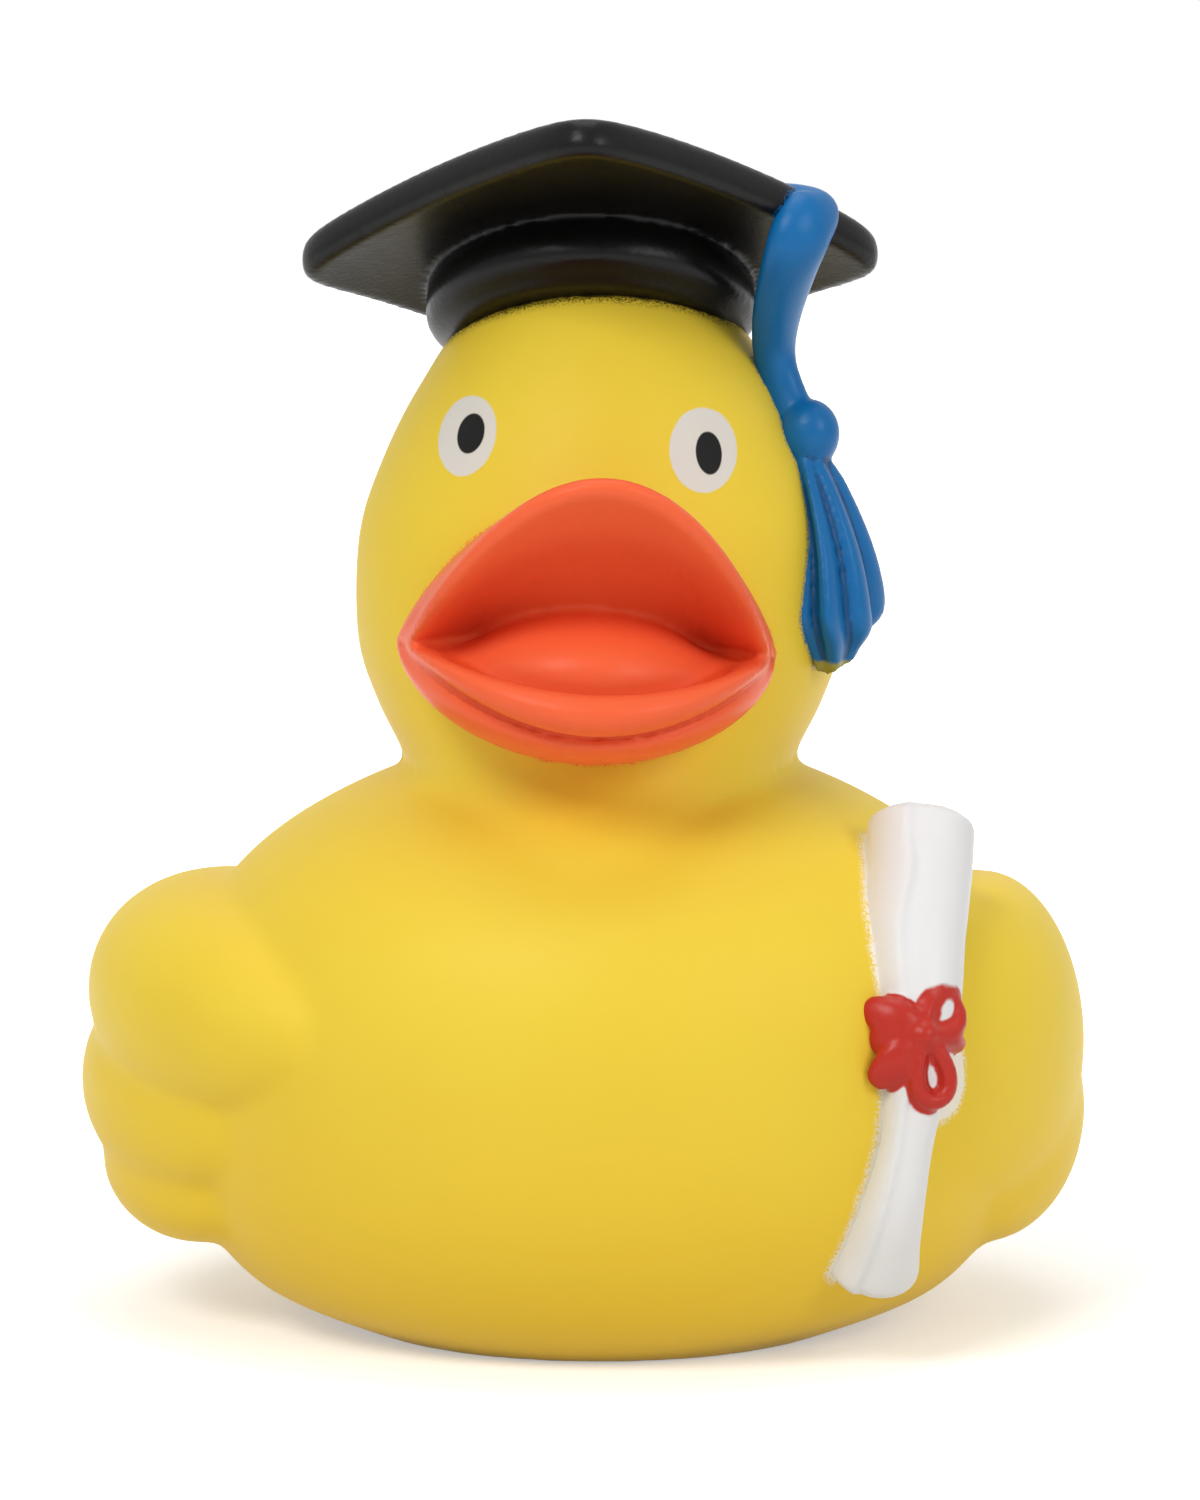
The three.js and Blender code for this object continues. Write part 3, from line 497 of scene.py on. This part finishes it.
def cut(piece, mesh):
    tool = placed(piece.name + "_tool", mesh)
    tool.hide_render = True
    modifier = piece.modifiers.new("cut", "BOOLEAN")
    modifier.operation = "DIFFERENCE"
    modifier.solver = "EXACT"
    modifier.object = tool
    return tool


# Applies what a piece carries and removes the tools that it used
def settled(piece, *tools):
    bpy.context.view_layer.update()
    mesh = bpy.data.meshes.new_from_object(piece.evaluated_get(bpy.context.evaluated_depsgraph_get()))
    piece.modifiers.clear()
    piece.data = mesh
    for tool in tools:
        bpy.data.objects.remove(tool)
    for face in mesh.polygons:
        face.use_smooth = True
    return piece


# One skin over forms that run into each other, with its creases softened as its sizes say
def skinned(name, meshes, sizes):
    piece = placed(name, joined(name, meshes))
    remesh = piece.modifiers.new("skin", "REMESH")
    remesh.mode = "VOXEL"
    remesh.voxel_size = sizes["voxel"] / 1000
    remesh.use_smooth_shade = True
    smooth = piece.modifiers.new("soften", "SMOOTH")
    smooth.factor = 0.5
    smooth.iterations = sizes["rounds"]
    return settled(piece)


def finished(piece):
    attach(piece, "root")


print("duck skin")
face = placed("face", headMesh)
face = settled(face, cut(face, ball("throat", throat["spot"], throat["radius"], throat["squash"])))
skin = skinned("duck_skin", yellowMeshes + [face.data], body)
bpy.data.objects.remove(face)
settled(skin, cut(skin, mouthMesh))
# The crown stops inside the board
aboveBoard = {"side": 80, "height": 40, "bottom": -0.4}
bm = bmesh.new()
bmesh.ops.create_cube(bm, size=1)
bmesh.ops.scale(bm, vec=(aboveBoard["side"], aboveBoard["side"], aboveBoard["height"]), verts=bm.verts)
bmesh.ops.translate(bm, vec=(0, 0, aboveBoard["bottom"] + aboveBoard["height"] / 2), verts=bm.verts)
bmesh.ops.transform(bm, matrix=capPose, verts=bm.verts)
settled(skin, cut(skin, closed("aboveBoard", bm)))
# The hole for the squeaker, with a recess for its flange
baseHole = {"bore": 4.5, "boreTop": 12, "recess": 6.6, "recessTop": 1.3}
settled(skin, cut(skin, cylinder("bore", baseHole["bore"], -2, baseHole["boreTop"])))
settled(skin, cut(skin, cylinder("recess", baseHole["recess"], -3, baseHole["recessTop"])))
finished(skin)
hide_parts("duck_shell")

print("bill")
openBill = skinned("bill", [billMesh], bill)
finished(openBill)

print("cap")
mortarboard = skinned("mortarboard", capMeshes, cap)
finished(mortarboard)

print("tassel")
fringe = skinned("tassel", tasselMeshes, tassel)
finished(fringe)

print("diploma")
diploma = skinned("diploma", [scrollMesh] + ribbonMeshes, scroll)
finished(diploma)


# How far each point of a piece lies from painted forms, in millimetres
def distances(piece, meshes):
    bm = bmesh.new()
    for mesh in meshes:
        bm.from_mesh(mesh)
    tree = BVHTree.FromBMesh(bm)
    bm.free()
    return [tree.find_nearest(vert.co)[3] * 1000 for vert in piece.data.vertices]


# How hollow the surface is round each point, in 1/mm, evened out over its neighbours
def hollows(piece, rounds=3):
    bm = bmesh.new()
    bm.from_mesh(piece.data)
    bm.verts.ensure_lookup_table()
    rings = [[edge.other_vert(vert) for edge in vert.link_edges] for vert in bm.verts]
    values = []
    for vert, ring in zip(bm.verts, rings):
        gaps = [other.co - vert.co for other in ring]
        span = sum(gap.length_squared for gap in gaps) + 1e-12
        values.append(sum(gap.dot(vert.normal) for gap in gaps) / span / 1000)
    near = [[other.index for other in ring] for ring in rings]
    for step in range(rounds):
        values = [(values[i] + sum(values[k] for k in ring)) / (1 + len(ring))
                  for i, ring in enumerate(near)]
    bm.free()
    return values


def paint(piece, name, values):
    made = piece.data.attributes.new(name, "FLOAT", "POINT")
    made.data.foreach_set("value", values)


print("paint masks")
# White paint went wide of the scroll's mask below the bow
overspray = {"x": 25.7, "z": 19.5, "wide": 1.9, "high": 4, "reach": 3.2}
toBill = distances(skin, [billMesh])
toCap = distances(skin, capMeshes)
toTassel = distances(skin, tasselMeshes)
toScroll = distances(skin, [scrollMesh])
spots = [(vert.co - centre) * 1000 for vert in skin.data.vertices]
drift = [exp(-((p.x - overspray["x"]) / overspray["wide"]) ** 2
             - ((p.z - overspray["z"]) / overspray["high"]) ** 2) for p in spots]
paint(skin, "billPaint", [-a for a in toBill])
paint(skin, "capPaint", [-a for a in toCap])
paint(skin, "tasselPaint", [-a for a in toTassel])
paint(skin, "scrollPaint", [overspray["reach"] * b - a for a, b in zip(toScroll, drift)])
paint(openBill, "hollow", hollows(openBill))
paint(fringe, "hollow", hollows(fringe))
paint(mortarboard, "tasselPaint", [-a for a in distances(mortarboard, [cordMesh])])
toPaper = distances(diploma, [scrollMesh])
toRibbon = distances(diploma, ribbonMeshes)
paint(diploma, "ribbonPaint", [a - b for a, b in zip(toPaper, toRibbon)])


def linear(code):
    parts = [int(code[i:i + 2], 16) / 255 for i in (1, 3, 5)]
    return [p / 12.92 if p <= 0.04045 else ((p + 0.055) / 1.055) ** 2.4 for p in parts] + [1]


def material(name, roughness):
    made = bpy.data.materials.new(name)
    made.use_nodes = True
    shader = made.node_tree.nodes["Principled BSDF"]
    shader.inputs["Roughness"].default_value = roughness
    return made, made.node_tree, shader


# Adds a node, with settings by name and inputs that are values or sockets
def node(tree, kind, settings=None, **inputs):
    made = tree.nodes.new("ShaderNode" + kind)
    for key, value in (settings or {}).items():
        setattr(made, key, value)
    for key, value in inputs.items():
        spot = made.inputs[int(key[1:])] if key[0] == "i" and key[1:].isdigit() else made.inputs[key]
        if isinstance(value, bpy.types.NodeSocket):
            tree.links.new(value, spot)
        else:
            spot.default_value = value
    return made


def maths(tree, operation, a, b=0.0):
    return node(tree, "Math", {"operation": operation}, i0=a, i1=b).outputs[0]


# Mix keeps its colour sockets behind the plain ones
def mixed(tree, share, a, b):
    return node(tree, "Mix", {"data_type": "RGBA"}, Factor=share, i6=a, i7=b).outputs[2]


def blended(tree, share, a, b):
    return node(tree, "Mix", {"data_type": "FLOAT"}, Factor=share, A=a, B=b).outputs[0]


# Noise of a grain size in millimetres, between 0 and 1
def grain(tree, size, detail=2.0):
    place = node(tree, "TexCoord").outputs["Object"]
    return node(tree, "TexNoise", None, Vector=place, Scale=1000 / size, Detail=detail).outputs[0]


# From 0 to 1 where a value climbs through a span
def ramp(tree, value, start, end):
    inputs = {"Value": value, "From Min": start, "From Max": end}
    return node(tree, "MapRange", {"interpolation_type": "SMOOTHSTEP"}, **inputs).outputs[0]


def attribute(tree, name):
    return node(tree, "Attribute", {"attribute_name": name}).outputs["Fac"]


def bumped(tree, shader, height, depth, strength=1.0):
    made = node(tree, "Bump", None, Height=height, Distance=depth / 1000, Strength=strength)
    tree.links.new(made.outputs["Normal"], shader.inputs["Normal"])


# The edge of a spray mask wanders by a fifth of a millimetre
def wandering(tree, coarse):
    return maths(tree, "MULTIPLY", maths(tree, "SUBTRACT", coarse, 0.5), 0.4)


# Satin paint isn't equally smooth all over
def roughened(tree, shader, coarse, least, spread):
    uneven = maths(tree, "ADD", maths(tree, "MULTIPLY", coarse, spread), least)
    tree.links.new(uneven, shader.inputs["Roughness"])


# Paint round a mask: solid up to an edge, then a fading dust, in millimetres; real dust is too fine
# to show, so its specks are 0.16 mm
def sprayed(tree, name, edge, spread, wobble):
    value = maths(tree, "ADD", attribute(tree, name), wobble)
    solidPaint = ramp(tree, value, -edge - 0.12, -edge + 0.12)
    fade = ramp(tree, value, -edge - spread, -edge)
    dust = maths(tree, "MULTIPLY", fade, ramp(tree, grain(tree, 0.16, 0.0), 0.3, 0.75))
    return maths(tree, "MAXIMUM", solidPaint, dust)


print("vinyl")
# Satin PVC, sprayed an even yellow, with soft-edged orange, black, blue and white where the masks leaked
vinyl, tree, shader = material("sprayed_satin_vinyl", 0.48)
shader.inputs["Specular IOR Level"].default_value = 0.17
fine, coarse, broad = grain(tree, 0.35), grain(tree, 1.4), grain(tree, 14, 1.0)
wobble = wandering(tree, coarse)
yellow = mixed(tree, broad, linear("#eacd3f"), linear("#e6c438"))
objectPlace = node(tree, "TexCoord").outputs["Object"]
spotParts = node(tree, "SeparateXYZ", None, Vector=objectPlace).outputs
# Painted shade: the yellow turns darker and warmer towards the foot
footShade = maths(tree, "MULTIPLY", ramp(tree, spotParts[2], 0.026, 0.002), 0.6)
yellow = mixed(tree, footShade, yellow, linear("#eec330"))

white = sprayed(tree, "scrollPaint", 0.25, 0.6, wobble)
colour = mixed(tree, maths(tree, "MULTIPLY", white, 0.85), yellow, linear("#efece4"))
orange = sprayed(tree, "billPaint", 0.05, 0.3, wobble)
colour = mixed(tree, orange, colour, linear("#ee6238"))
black = sprayed(tree, "capPaint", 0.15, 0.9, wobble)
colour = mixed(tree, maths(tree, "MULTIPLY", black, 0.92), colour, linear("#141210"))
blue = sprayed(tree, "tasselPaint", 0.05, 0.4, wobble)
colour = mixed(tree, blue, colour, linear("#1b6798"))


# A leaning ellipse seen from the front: 0 in its middle and 1 on its edge
def oval(x, z, halfWide, halfHigh, lean):
    mapping = node(tree, "Mapping", {"vector_type": "TEXTURE"}, Vector=objectPlace)
    mapping.inputs["Location"].default_value = (centre.x + x / 1000, 0, z / 1000)
    mapping.inputs["Rotation"].default_value = (0, radians(lean), 0)
    mapping.inputs["Scale"].default_value = (halfWide / 1000, 1000, halfHigh / 1000)
    length = node(tree, "VectorMath", {"operation": "LENGTH"}, i0=mapping.outputs[0]).outputs["Value"]
    return maths(tree, "ADD", length, maths(tree, "MULTIPLY", wobble, 0.12))


# Each eye is an off-white oval with a black pupil, which has its shift and half sizes
eyes = (
    {"x": -8.8, "z": 64.9, "half": (2.05, 2.8), "pupil": (0.28, 0.18, 0.95, 1.4), "lean": 17},
    {"x": 7.8, "z": 64.0, "half": (2.3, 2.9), "pupil": (0.39, -0.21, 0.88, 1.47), "lean": -8})
inFront = ramp(tree, spotParts[1], centre.y - 0.008, centre.y - 0.0085)
for eye in eyes:
    iris = ramp(tree, oval(eye["x"], eye["z"], *eye["half"], eye["lean"]), 1.03, 0.98)
    dx, dz, pupilWide, pupilHigh = eye["pupil"]
    pupil = ramp(tree, oval(eye["x"] + dx, eye["z"] + dz, pupilWide, pupilHigh, eye["lean"]), 1.06, 0.96)
    colour = mixed(tree, maths(tree, "MULTIPLY", iris, inFront), colour, linear("#d9d3c9"))
    colour = mixed(tree, maths(tree, "MULTIPLY", pupil, inFront), colour, linear("#0a0908"))

tree.links.new(colour, shader.inputs["Base Color"])
roughened(tree, shader, coarse, 0.45, 0.08)
bumped(tree, shader, fine, 0.02, 0.5)
skin.data.materials.append(vinyl)

# Orange spray paint, with painted shade: a darker red deep in the mouth and in the creases of the bill
orangePaint, tree, shader = material("sprayed_satin_orange", 0.36)
shader.inputs["Specular IOR Level"].default_value = 0.16
fine, coarse, broad = grain(tree, 0.35), grain(tree, 1.4), grain(tree, 9, 1.0)
spotParts = node(tree, "SeparateXYZ", None, Vector=node(tree, "TexCoord").outputs["Object"]).outputs
# Painted shade on the palate and in the creases, by depth, by height and by how hollow the surface is
palateShade = maths(tree, "MULTIPLY", ramp(tree, spotParts[1], centre.y - 0.0265, centre.y - 0.022),
               ramp(tree, spotParts[2], 0.051, 0.0535))
creaseShade = maths(tree, "MULTIPLY", ramp(tree, attribute(tree, "hollow"), 0.03, 0.22),
                ramp(tree, spotParts[2], 0.051, 0.0495))
paintedShade = maths(tree, "MAXIMUM", maths(tree, "MULTIPLY", palateShade, 0.25), maths(tree, "MULTIPLY", creaseShade, 0.6))
colour = mixed(tree, broad, linear("#f1693f"), linear("#ee6137"))
tree.links.new(mixed(tree, paintedShade, colour, linear("#cf3d12")), shader.inputs["Base Color"])
roughened(tree, shader, coarse, 0.32, 0.1)
bumped(tree, shader, fine, 0.02, 0.5)
openBill.data.materials.append(orangePaint)

# Black spray paint, satin, which takes a soft highlight on its edges
blackPaint, tree, shader = material("sprayed_satin_black", 0.34)
fine, coarse = grain(tree, 0.35), grain(tree, 1.4)
wobble = wandering(tree, coarse)
blue = sprayed(tree, "tasselPaint", 0.05, 0.4, wobble)
colour = mixed(tree, coarse, linear("#0c0b0a"), linear("#100f0e"))
tree.links.new(mixed(tree, blue, colour, linear("#155888")), shader.inputs["Base Color"])
shader.inputs["Specular IOR Level"].default_value = 0.16
roughened(tree, shader, coarse, 0.24, 0.16)
bumped(tree, shader, fine, 0.025, 0.6)
mortarboard.data.materials.append(blackPaint)

# Blue spray paint over the pleats, darkened in their valleys as painted shade, with the bare vinyl left at
# the inner tip
bluePaint, tree, shader = material("sprayed_satin_blue", 0.36)
fine, coarse, broad = grain(tree, 0.35), grain(tree, 1.4), grain(tree, 5, 1.0)
spotParts = node(tree, "SeparateXYZ", None, Vector=node(tree, "TexCoord").outputs["Object"]).outputs
bare = ramp(tree, maths(tree, "ADD", spotParts[2], maths(tree, "MULTIPLY", coarse, 0.0008)), 0.0493, 0.049)
colour = mixed(tree, broad, linear("#0c69a6"), linear("#0a5f9a"))
# Painted shade in the valleys between the pleats
creaseShade = ramp(tree, attribute(tree, "hollow"), 0.02, 0.25)
colour = mixed(tree, maths(tree, "MULTIPLY", creaseShade, 0.75), colour, linear("#0a3c66"))
tree.links.new(mixed(tree, bare, colour, linear("#8f8a3a")), shader.inputs["Base Color"])
shader.inputs["Specular IOR Level"].default_value = 0.22
roughened(tree, shader, coarse, 0.32, 0.1)
bumped(tree, shader, fine, 0.025, 0.6)
fringe.data.materials.append(bluePaint)

# Matt white spray paint on the scroll and satin red on the ribbon, with a brushed edge between them
paper, tree, shader = material("sprayed_white_and_red", 0.45)
shader.inputs["Specular IOR Level"].default_value = 0.25
fine, coarse, broad = grain(tree, 0.35), grain(tree, 1.4), grain(tree, 8, 1.0)
brushed = maths(tree, "MULTIPLY", maths(tree, "SUBTRACT", coarse, 0.5), 0.5)
red = ramp(tree, maths(tree, "ADD", attribute(tree, "ribbonPaint"), brushed), -0.45, -0.2)
sheet = mixed(tree, broad, linear("#e3e2e1"), linear("#dcdbda"))
tree.links.new(mixed(tree, red, sheet, linear("#b42a1d")), shader.inputs["Base Color"])
tree.links.new(blended(tree, red, 0.42, 0.33), shader.inputs["Roughness"])
bumped(tree, shader, fine, 0.02, 0.6)
diploma.data.materials.append(paper)

print("squeaker")
# Cream polyethylene cup and plug
for name, colourCode in (("squeaker_housing", "#ece8dc"), ("squeaker_reed_seat", "#e2ddd0")):
    plastic, tree, shader = material(name + "_polyethylene", 0.38)
    cloudy = grain(tree, 3)
    tree.links.new(mixed(tree, cloudy, linear(colourCode), linear("#f4f1e8")), shader.inputs["Base Color"])
    bumped(tree, shader, grain(tree, 0.25), 0.01, 0.5)
    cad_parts[name].data.materials.clear()
    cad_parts[name].data.materials.append(plastic)
# Clear film reed
film, tree, shader = material("reed_film", 0.16)
tree.links.new(mixed(tree, grain(tree, 1), linear("#d4dade"), linear("#e4e9ec")), shader.inputs["Base Color"])
bumped(tree, shader, grain(tree, 0.4), 0.005, 0.4)
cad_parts["squeaker_reed"].data.materials.clear()
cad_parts["squeaker_reed"].data.materials.append(film)

print("studio")
studio = {"world": 0.42, "key": 3.15, "fill": 1.5, "top": 1.8}
bm = bmesh.new()
bmesh.ops.create_grid(bm, x_segments=4, y_segments=4, size=3)
floorMesh = bpy.data.meshes.new("floor")
bm.to_mesh(floorMesh)
bm.free()
floor = placed("floor", floorMesh)


# 1 for what the camera sees, straight or in a reflection
def seen(tree):
    rays = node(tree, "LightPath").outputs
    return maths(tree, "MAXIMUM", maths(tree, "MAXIMUM", rays["Is Camera Ray"], rays["Is Glossy Ray"]),
                 rays["Is Transmission Ray"])


# Matt pale card that keeps the shadow and goes over into the white backdrop
card, tree, shader = material("pale_card", 0.9)
shader.inputs["Base Color"].default_value = linear("#eeeeee")
shader.inputs["Specular IOR Level"].default_value = 0
fromMiddle = node(tree, "VectorMath", {"operation": "LENGTH"}, i0=node(tree, "TexCoord").outputs["Object"])
glow = blended(tree, ramp(tree, fromMiddle.outputs["Value"], 0.045, 0.12), 0.4, 1.0)
shader.inputs["Emission Color"].default_value = linear("#ffffff")
tree.links.new(maths(tree, "MULTIPLY", seen(tree), glow), shader.inputs["Emission Strength"])
floor.data.materials.append(card)

world = bpy.data.worlds.new("studio")
bpy.context.scene.world = world
world.use_nodes = True
tree = world.node_tree
backdrop = tree.nodes["Background"]
tree.links.new(blended(tree, seen(tree), studio["world"], 1.0), backdrop.inputs["Strength"])
backdrop.inputs["Color"].default_value = linear("#ffffff")


def softbox(name, spot, size, power):
    lamp = bpy.data.lights.new(name, "AREA")
    lamp.shape = "RECTANGLE"
    lamp.size, lamp.size_y = size
    lamp.energy = power
    light = bpy.data.objects.new(name, lamp)
    light.location = spot
    light.rotation_euler = (Vector((0, 0, 0.04)) - Vector(spot)).to_track_quat("-Z", "Y").to_euler()
    bpy.context.scene.collection.objects.link(light)


softbox("key", (-0.3, -0.6, 0.62), (0.35, 0.3), studio["key"])
softbox("fill", (0.55, -0.5, 0.4), (0.3, 0.3), studio["fill"])
softbox("top", (0.0, 0.05, 0.8), (0.5, 0.5), studio["top"])

# The photograph's own view: frameHeight is what it shows from top to bottom at the duck
view = {"distance": 0.42, "azimuth": 2.5, "elevation": 6, "aimHeight": 0.0415, "frameHeight": 0.1089}
azimuth, elevation = radians(view["azimuth"]), radians(view["elevation"])
towards = Vector((sin(azimuth) * cos(elevation), -cos(azimuth) * cos(elevation), sin(elevation)))
aim = centre + Vector((0, 0, view["aimHeight"]))
stand = aim + view["distance"] * towards
lens = bpy.data.cameras.new("camera")
lens.sensor_width = 36
lens.lens = lens.sensor_width * view["distance"] / view["frameHeight"]
lens.clip_start = 0.01
camera = bpy.data.objects.new("camera", lens)
camera.location = stand
camera.rotation_euler = (aim - stand).to_track_quat("-Z", "Y").to_euler()
bpy.context.scene.collection.objects.link(camera)
bpy.context.scene.camera = camera
bpy.context.scene.view_settings.view_transform = "Standard"

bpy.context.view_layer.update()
triangles = {piece.name: sum(len(p.vertices) - 2 for p in piece.data.polygons)
             for piece in (skin, openBill, mortarboard, fringe, diploma)}
print("triangles", triangles)
